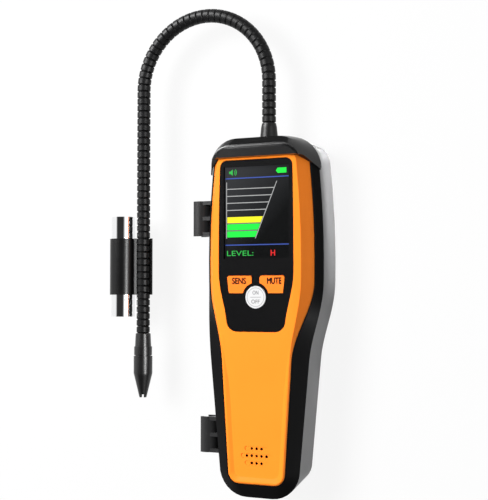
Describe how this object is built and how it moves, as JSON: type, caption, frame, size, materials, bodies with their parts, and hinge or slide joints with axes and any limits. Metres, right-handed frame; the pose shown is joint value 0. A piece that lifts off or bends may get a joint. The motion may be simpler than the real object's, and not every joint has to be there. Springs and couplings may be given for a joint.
{
  "type": "refrigerant leak detector",
  "caption": "Hand-held gas leak detector with a waisted case, display and keys, side clips, and a ribbed gooseneck probe folded down beside the case.",
  "frame": {"origin": "middle of the flat back of the case, at half the case's length", "axes": "+Y up the case towards the neck, +Z out of the front, +X to the right seen from the front"},
  "size_m": [0.1513, 0.3008, 0.0486],
  "materials": {
    "rear_plastic": "satin",
    "black_plastic": "satin",
    "orange_plastic": "satin",
    "fascia_black": "gloss",
    "lens": "gloss",
    "lcd": "gloss",
    "board_green": "satin",
    "steel": "satin",
    "dark_plastic": "matte",
    "cell_wrap": "gloss",
    "brass_cell": "satin",
    "hose_rubber": "matte",
    "clip_black": "satin",
    "boot_rubber": "satin",
    "key_orange": "satin",
    "key_white": "satin",
    "neck_black": "satin",
    "tip_black": "satin",
    "filter_white": "matte",
    "bright_tube": "polished"
  },
  "bodies": {
    "case": {"rear_shell": "rear_plastic", "bumper_frame": "black_plastic", "front_shell": "orange_plastic", "hood": "black_plastic", "fascia_panel": "fascia_black", "display_lens": "lens", "lcd_module": "lcd", "main_board": "board_green", "key_switches": "steel", "speaker": "dark_plastic", "battery_pack": "cell_wrap", "sensor_cell": "brass_cell", "inlet_hose": "hose_rubber", "pump_hose": "hose_rubber", "air_pump": "dark_plastic", "pump_motor": "steel", "charge_board": "board_green", "charge_socket": "steel", "case_screws": "steel", "upper_wand_clip": "clip_black", "lower_wand_clip": "clip_black", "neck_boot": "boot_rubber", "gland_nut": "steel", "neck_base": "neck_black"},
    "sens_key": {"sens_key": "key_orange"},
    "mute_key": {"mute_key": "key_orange"},
    "power_key": {"power_key": "key_white"},
    "link_1": {"neck_1": "neck_black"},
    "link_2": {"neck_2": "neck_black"},
    "link_3": {"neck_3": "neck_black"},
    "link_4": {"neck_4": "neck_black"},
    "link_5": {"neck_5": "neck_black"},
    "probe": {"neck_6": "neck_black", "neck_ferrule": "tip_black", "nozzle": "tip_black", "tip_filter": "filter_white", "tube_clip": "clip_black", "chrome_tube": "bright_tube"}
  },
  "joints": [
    {"name": "sens_key_press", "type": "slide", "parent": "case", "child": "sens_key", "axis": [0, 0, -1], "range_m": [0, 0.0006], "stiffness_N_per_m": 1500, "springref_m": -0.0005},
    {"name": "mute_key_press", "type": "slide", "parent": "case", "child": "mute_key", "axis": [0, 0, -1], "range_m": [0, 0.0006], "stiffness_N_per_m": 1500, "springref_m": -0.0005},
    {"name": "power_key_press", "type": "slide", "parent": "case", "child": "power_key", "axis": [0, 0, -1], "range_m": [0, 0.0006], "stiffness_N_per_m": 1500, "springref_m": -0.0005},
    {"name": "neck_bend_1", "type": "hinge", "parent": "case", "child": "link_1", "pos_m": [-0.00134, 0.15574, 0.0255], "axis": [0, 0, -1], "range_deg": [0, 30]},
    {"name": "neck_bend_2", "type": "hinge", "parent": "link_1", "child": "link_2", "pos_m": [-0.01155, 0.17485, 0.0255], "axis": [0, 0, -1], "range_deg": [0, 30]},
    {"name": "neck_bend_3", "type": "hinge", "parent": "link_2", "child": "link_3", "pos_m": [-0.03376, 0.18816, 0.0255], "axis": [0, 0, -1], "range_deg": [0, 30]},
    {"name": "neck_bend_4", "type": "hinge", "parent": "link_3", "child": "link_4", "pos_m": [-0.05544, 0.18816, 0.0255], "axis": [0, 0, -1], "range_deg": [0, 30]},
    {"name": "neck_bend_5", "type": "hinge", "parent": "link_4", "child": "link_5", "pos_m": [-0.07765, 0.17485, 0.0255], "axis": [0, 0, -1], "range_deg": [0, 30]},
    {"name": "neck_bend_6", "type": "hinge", "parent": "link_5", "child": "probe", "pos_m": [-0.08786, 0.15574, 0.0255], "axis": [0, 0, -1], "range_deg": [0, 30]}
  ]
}
